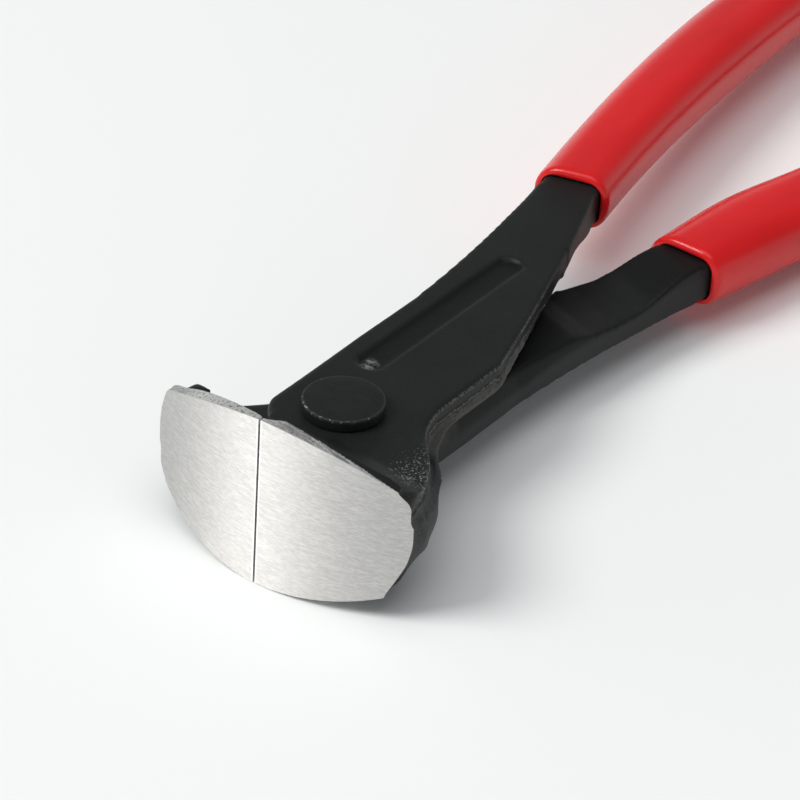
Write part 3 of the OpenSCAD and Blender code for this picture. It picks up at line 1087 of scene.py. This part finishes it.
def turned_over(mesh):
    half_turn = Matrix.Rotation(math.pi, 4, "Y")
    mesh.transform(Matrix.Translation(pivot) @ half_turn @ Matrix.Translation(-pivot))
    return mesh


dress("upper_forging", upper_mesh, "upper_half", "upper_lever")
dress("lower_forging", turned_over(lower_mesh), "lower_half", "lower_lever")

# %% [markdown]
# The rivet has the same black skin, a little duller. Its hammered-over rim lost the black in specks. A
# grey line round the rim is a painted highlight, and the specks are painted brighter and thicker at the
# front, where the highlight falls. Edge wear is often taken from Pointiness, but the rim is a known
# circle, so its radius and height say where the finish turns bright.

# %% Rivet finish
HEAD_R = 5
HEAD_TOP = 6.15
RIM_IN = (0.32, 0.1)
RIM_UNDER = (0.5, 0.2)
FRONT_Y = (1, -4)
WORN_SPECK = (0.58, 0.72)
RIVET_DEEP = (0.0075, 0.008, 0.008, 1)
RIVET_PALE = (0.017, 0.018, 0.018, 1)
RIM_HIGHLIGHT_GREY = (0.045, 0.044, 0.043, 1)
RIM_WEAR_AND_HIGHLIGHT = (0.40, 0.39, 0.38, 1)


def rivet_black():
    skin = Finish("rivet_black")
    x, y, z = skin.axes()
    where = skin.join(x, y, z)
    cloud = skin.clouds(where, scale=0.5, detail=3.0)
    grain = skin.clouds(where, scale=3.0, detail=4.0, roughness=0.65)
    speck = skin.clouds(where, scale=2.2, detail=3.0, roughness=0.7)
    # A grey line round the rim, painted as a highlight.
    rim = skin.ramp(HEAD_R - from_axis(x, y), *RIM_IN) * skin.ramp(HEAD_TOP - abs(z), *RIM_UNDER)
    # Worn specks, painted brighter and thicker at the front, where the highlight falls.
    front = 0.35 + 0.65 * skin.ramp(y, *FRONT_Y)
    wear_and_highlight = rim * skin.ramp(speck, *WORN_SPECK) * front
    layers = (
        (RIVET_PALE, cloud),
        (RIM_HIGHLIGHT_GREY, 0.6 * rim),
        (RIM_WEAR_AND_HIGHLIGHT, wear_and_highlight),
    )
    return skin.surface(
        Base_Color=skin.coats(RIVET_DEEP, layers),
        Roughness=0.5 + 0.2 * grain,
        Metallic=0.8 * wear_and_highlight,
        Specular_IOR_Level=0.16,
        Normal=skin.bump(grain + 1.4 * cloud, depth=0.07 * MM, strength=0.5),
    )


rivet_skin = rivet_black()
print("made", rivet_skin.name)

# %% [markdown]
# The rivet is a short steel pin with a broad flat head on each side. Three cylinders would make it, with
# hidden walls between them. Its outline is only a handful of points, so they are spun right round into
# one closed shell, and its rims get a small bevel.

# %% Rivet
RIVET_R = 3
HEAD_SEAT = 4.55
HEAD_CROWN = 0.06
RIM_ROUND = 0.16
RIM_SEGMENTS = 3
RIM_NEAR = 0.1
RIM_ANGLE = 1.2
RIVET_STEPS = 128
POLE_MERGE = 0.001


def round_off(bm, geom, radius, affect, segments):
    """Bevels edges or corners to a radius."""
    bmesh.ops.bevel(
        bm,
        geom=geom,
        offset=radius * MM,
        affect=affect,
        segments=segments,
        profile=0.5,
        material=-1,
    )


def rim_edges(bm):
    """The sharp edges at the outside of the heads."""
    least = (HEAD_R - RIM_NEAR) * MM
    sharp = [e for e in bm.edges if e.calc_face_angle(0) > RIM_ANGLE]
    return [e for e in sharp if (e.verts[0].co - pivot).xy.length > least]


def rivet_mesh():
    outline = [
        (0, HEAD_TOP),
        (0.6 * HEAD_R, HEAD_TOP - 0.3 * HEAD_CROWN),
        (HEAD_R, HEAD_TOP - HEAD_CROWN),
        (HEAD_R, HEAD_SEAT),
        (RIVET_R, HEAD_SEAT),
    ]
    outline += [(r, -z) for r, z in reversed(outline)]
    bm = bmesh.new()
    verts = [bm.verts.new(Vector((r * MM, 0, z * MM)) + pivot) for r, z in outline]
    edges = [bm.edges.new(pair) for pair in zip(verts, verts[1:])]
    bmesh.ops.spin(
        bm,
        geom=verts + edges,
        cent=pivot,
        axis=Z_UP,
        angle=2 * math.pi,
        steps=RIVET_STEPS,
        use_merge=True,
    )
    bmesh.ops.remove_doubles(bm, verts=bm.verts[:], dist=POLE_MERGE * MM)
    bmesh.ops.recalc_face_normals(bm, faces=bm.faces[:])
    round_off(bm, rim_edges(bm), RIM_ROUND, "EDGES", RIM_SEGMENTS)
    mesh = mesh_from(bm, "rivet")
    mesh.materials.append(rivet_skin)
    mesh.shade_smooth()
    mesh.set_sharp_from_angle(angle=SHARP_ANGLE)
    return mesh


dress("rivet", rivet_mesh(), "lower_half", "pivot_rivet")

# %% [markdown]
# The sleeves are dipped in soft red vinyl, which sets with a smooth gloss, a slight orange peel and a red
# that is a little deeper where it flowed thicker. A clear coat would add a second, harder gloss that
# vinyl doesn't have, so one low roughness that follows the peel is enough.

# %% Vinyl
GRIP_RED = (0.70, 0.011, 0.013, 1)
GRIP_DEEP = (0.57, 0.008, 0.009, 1)
FLOW = (0.25, 0.65)


def red_vinyl(name):
    vinyl = Finish(name)
    x, y, z = vinyl.axes()
    flow = vinyl.clouds(vinyl.join(0.12 * x, 0.03 * y, 0.12 * z), scale=1.0, detail=2.0)
    peel = vinyl.clouds(vinyl.join(x, y, z), scale=0.55, detail=2.0)
    return vinyl.surface(
        Base_Color=vinyl.blend(GRIP_DEEP, GRIP_RED, vinyl.ramp(flow, *FLOW)),
        Roughness=0.18 + 0.12 * peel,
        Specular_IOR_Level=0.36,
        Normal=vinyl.bump(peel, depth=0.08 * MM, strength=0.35),
    )


upper_vinyl = red_vinyl("upper_sleeve_vinyl")
lower_vinyl = red_vinyl("lower_sleeve_vinyl")
print("made", upper_vinyl.name, "and", lower_vinyl.name)

# %% [markdown]
# A sleeve is a tube with one closed end, pushed over the tang. A curve with a bevel would give a tube of
# one thickness, so the sleeve is swept instead: a rounded rectangle for the outside and a tighter one for
# the cavity are each spun along the bow of the handle. Rings extruded from the outer end, smaller and
# smaller, close it to a dome.

# %% Sleeve walls
BOW_R = 385
BOW_X = 366.25
WIDEST_Y = 148
HANDLE_Z = 1.7
MOUTH_Y = 64
SLEEVE_END_Y = 183.5
DOME = 6
DOME_RINGS = 7
SECTION_SEGMENTS = 6
SWEEP_STEPS = 64
bow_centre = Vector((BOW_X, WIDEST_Y, HANDLE_Z))
bow_axis_at = bow_centre * MM + pivot


def bow_angle(y):
    return math.asin((y - WIDEST_Y) / BOW_R)


def section(bm, half_w, half_t, corner):
    """A rounded rectangle across the bow at its widest place, as a loop of edges."""
    middle = bow_centre - Vector((BOW_R, 0, 0))
    ends = [(-half_w, -half_t), (half_w, -half_t), (half_w, half_t), (-half_w, half_t)]
    before = set(bm.edges)
    corners = [bm.verts.new((middle + Vector((w, 0, t))) * MM + pivot) for w, t in ends]
    for i in range(4):
        bm.edges.new((corners[i - 1], corners[i]))
    round_off(bm, corners, corner, "VERTICES", SECTION_SEGMENTS)
    return [e for e in bm.edges if e not in before]


def sweep(bm, loop, to_y):
    """Spins a loop along the bow from the mouth, and gives the edges of its far end."""
    made = bmesh.ops.spin(
        bm,
        geom=loop,
        cent=bow_axis_at,
        axis=-Z_UP,
        angle=bow_angle(to_y) - bow_angle(MOUTH_Y),
        steps=SWEEP_STEPS,
    )
    return [e for e in made["geom_last"] if isinstance(e, bmesh.types.BMEdge)]


def close_dome(bm, loop):
    """Closes the sleeve's far end with rings that shrink along a quarter circle, and a point."""
    angle = bow_angle(SLEEVE_END_Y - DOME)
    along = Vector((math.sin(angle), math.cos(angle), 0))
    start = bow_centre + BOW_R * Vector((-math.cos(angle), math.sin(angle), 0))
    size = 1.0
    reach = 0.0
    for i in range(1, DOME_RINGS):
        turn = 0.5 * math.pi * i / DOME_RINGS
        made = bmesh.ops.extrude_edge_only(bm, edges=loop)["geom"]
        ring = [g for g in made if isinstance(g, bmesh.types.BMVert)]
        loop = [g for g in made if isinstance(g, bmesh.types.BMEdge) and g.is_boundary]
        bmesh.ops.translate(bm, vec=along * DOME * (math.sin(turn) - reach) * MM, verts=ring)
        reach = math.sin(turn)
        middle = Matrix.Translation(-((start + along * DOME * reach) * MM + pivot))
        bmesh.ops.scale(bm, vec=[math.cos(turn) / size] * 3, space=middle, verts=ring)
        size = math.cos(turn)
    cap = bmesh.ops.edgeloop_fill(bm, edges=loop)["faces"]
    tip = bmesh.ops.poke(bm, faces=cap)["verts"]
    bmesh.ops.translate(bm, vec=along * DOME * (1 - reach) * MM, verts=tip)


print("the handle bows about, in mm:", [round(c, 2) for c in bow_centre])

# %% [markdown]
# No dipped sleeve is an even tube. It swells towards the hand, and on the lower handle it bulges inwards
# behind the mouth and sits a little askew. A lattice could bend it, but both follow from a point's place
# along and across the bow, so the points are moved by that.

# %% Sleeve fit
MOUTH_HALF_W = 5.4
MOUTH_HALF_T = 4.2
CAVE_HALF_W = 4.1
CAVE_HALF_T = 2.9
CAVE_SLACK = 0.05
SWELL = 0.8
SWELL_Y = 124
TALL_SHARE = 0.5
INNER_BULGE = 2.4
BULGE_RUN = 15
BULGE_HALF = 13
MOUTH_SKEW = 2.0
SKEW_RUN = 20


def swell_out(bm, bulge):
    """Lets the belly swell behind the mouth, and its inner side bulge a little more."""
    for v in bm.verts:
        p = (v.co - pivot) / MM
        across = (p - bow_centre).xy.length - BOW_R
        height = p.z - HANDLE_Z
        if abs(across) < CAVE_HALF_W + CAVE_SLACK and abs(height) < CAVE_HALF_T + CAVE_SLACK:
            continue
        full = part_way(p.y, MOUTH_Y, SWELL_Y)
        grow = SWELL * full * full * (3 - 2 * full)
        behind = (p.y - MOUTH_Y - BULGE_RUN) / BULGE_HALF
        inner = bulge * math.exp(-(behind**2)) * max(0, -across / MOUTH_HALF_W)
        wider = across * (1 + grow / MOUTH_HALF_W) - inner
        taller = height * (1 + TALL_SHARE * grow / MOUTH_HALF_T)
        ray = (p - bow_centre).xy.normalized()
        spot = bow_centre.xy + (BOW_R + wider) * ray
        v.co = Vector((spot.x, spot.y, HANDLE_Z + taller)) * MM + pivot


def skew_mouth(bm, skew):
    """Lets the mouth stand further forward on its inner side."""
    for v in bm.verts:
        p = (v.co - pivot) / MM
        across = (p - bow_centre).xy.length - BOW_R
        share = max(0, 1 - (p.y - MOUTH_Y) / SKEW_RUN) ** 2
        v.co.y -= skew * MM * share * max(0, 0.5 - 0.5 * across / MOUTH_HALF_W)


print("the lower sleeve bulges by", INNER_BULGE, "mm and its mouth is skewed by", MOUTH_SKEW, "mm")

# %% [markdown]
# Both walls are bridged at the mouth, swept, fitted and closed, and the mouth's outer edge gets a round
# lip. One level of Subdivision Surface then rounds the whole sleeve, which is cheaper than a finer sweep
# and softens the corners as dipping does.

# %% Sleeves
TANG_END_Y = 172.1
SLEEVE_CORNER = 3.7
CAVE_CORNER = 0.9
LIP = 0.8
LIP_SEGMENTS = 4


def sleeve_mesh(bulge, skew):
    bm = bmesh.new()
    outer = section(bm, MOUTH_HALF_W, MOUTH_HALF_T, SLEEVE_CORNER)
    inner = section(bm, CAVE_HALF_W, CAVE_HALF_T, CAVE_CORNER)
    to_mouth = Matrix.Rotation(bow_angle(MOUTH_Y), 3, -Z_UP)
    bmesh.ops.rotate(bm, cent=bow_axis_at, matrix=to_mouth, verts=bm.verts[:])
    bmesh.ops.bridge_loops(bm, edges=outer + inner)
    cave_end = sweep(bm, inner, TANG_END_Y)
    bmesh.ops.edgeloop_fill(bm, edges=cave_end)
    sleeve_end = sweep(bm, outer, SLEEVE_END_Y - DOME)
    swell_out(bm, bulge)
    skew_mouth(bm, skew)
    close_dome(bm, sleeve_end)
    round_off(bm, outer, LIP, "EDGES", LIP_SEGMENTS)
    bmesh.ops.recalc_face_normals(bm, faces=bm.faces[:])
    return mesh_from(bm, "sleeve")


def dress_sleeve(name, mesh, finish, body, node):
    mesh.materials.append(finish)
    mesh.shade_smooth()
    sleeve = dress(name, mesh, body, node)
    rounding = sleeve.modifiers.new("rounding", "SUBSURF")
    rounding.levels = 1
    rounding.render_levels = 1


upper_tube = sleeve_mesh(0, 0)
lower_tube = turned_over(sleeve_mesh(INNER_BULGE, MOUTH_SKEW))
dress_sleeve("upper_sleeve", upper_tube, upper_vinyl, "upper_half", "upper_grip")
dress_sleeve("lower_sleeve", lower_tube, lower_vinyl, "lower_half", "lower_grip")

# %% [markdown]
# The tool lies on a pale sweep. A level floor would leave its jaws or its handles in the air: it rests
# on the lower jaw's rim and on the belly of the lower sleeve. So the floor is the plane through those
# two places, tilted a little about X.

# %% Floor
JAW_REST = Vector((0, -14.5, -11.5))
SLEEVE_REST = Vector((0, 150, -6.35))
FLOOR_SIZE = 3.0
PAPER_LOW = (0.895, 0.905, 0.905, 1)
PAPER_HIGH = (0.915, 0.925, 0.925, 1)


def floor_finish():
    paper = Finish("pale_floor")
    x, y, z = paper.axes()
    cloud = paper.clouds(paper.join(x, y, z), scale=0.01, detail=2.0)
    colour = paper.blend(PAPER_LOW, PAPER_HIGH, cloud)
    return paper.surface(Base_Color=colour, Roughness=0.7, Specular_IOR_Level=0.1)


def floor_mesh():
    rise = SLEEVE_REST - JAW_REST
    slope = math.atan2(rise.z, rise.y)
    bm = bmesh.new()
    bmesh.ops.create_grid(bm, x_segments=1, y_segments=1, size=0.5 * FLOOR_SIZE)
    bmesh.ops.rotate(bm, cent=(0, 0, 0), matrix=Matrix.Rotation(slope, 3, "X"), verts=bm.verts[:])
    bmesh.ops.translate(bm, vec=JAW_REST * MM + pivot, verts=bm.verts[:])
    mesh = mesh_from(bm, "floor")
    mesh.materials.append(floor_finish())
    print("floor slopes by", round(math.degrees(slope), 2), "degrees")
    return mesh


floor = bpy.data.objects.new("floor", floor_mesh())
bpy.context.scene.collection.objects.link(floor)

# %% [markdown]
# The light is that of a small studio: a pale sweep all round that is bright near the ground and dim
# overhead, a wide soft panel above, and one soft box in front on the left, which gives the faint shadow
# to the right. An even white world would be simpler, but black steel and red vinyl would mirror it and
# turn grey and pink.

# %% Light
SWEEP = (0.80, 0.82, 0.83, 1)
OVERHEAD = (0.17, 0.18, 0.19, 1)
SWEEP_TO_OVERHEAD = (0.05, 0.5)


class Surround(Finish):
    """The world's own light, as a finish that reads directions in place of positions."""

    def __init__(self, name):
        self.world = bpy.data.worlds.new(name)
        self.world.use_nodes = True
        self.tree = self.world.node_tree
        self.tree.nodes.clear()
        self.place = self.node("TexCoord", out="Generated")

    def glow(self, colour):
        light = self.node("Background", None, {"Color": colour})
        self.node("OutputWorld", None, {"Surface": light})
        return self.world


def studio():
    air = Surround("studio")
    upward = air.node("SeparateXYZ", None, {0: air.place}, out=2)
    return air.glow(air.blend(SWEEP, OVERHEAD, air.ramp(upward, *SWEEP_TO_OVERHEAD)))


def soft_box(name, place, size, watts, colour):
    """A round lamp that looks at the tool."""
    data = bpy.data.lights.new(name, "AREA")
    data.shape = "DISK"
    data.size = size
    data.energy = watts
    data.color = colour
    lamp = bpy.data.objects.new(name, data)
    lamp.location = place
    lamp.rotation_euler = (-Vector(place)).to_track_quat("-Z", "Y").to_euler()
    bpy.context.scene.collection.objects.link(lamp)
    print(name, "stands", round(Vector(place).length, 2), "m away with", watts, "W")


bpy.context.scene.world = studio()
soft_box("key", place=(-1.03, -1.12, 1.66), size=1.16, watts=34.0, colour=(1.0, 1.0, 0.97))
soft_box("overhead", place=(0.10, -0.20, 1.50), size=1.50, watts=8.8, colour=(1.0, 1.0, 1.0))

# %% [markdown]
# Standard view keeps a colour as it is written, where a film-like view would dull the red.

# %% Colour view
bpy.context.scene.view_settings.view_transform = "Standard"
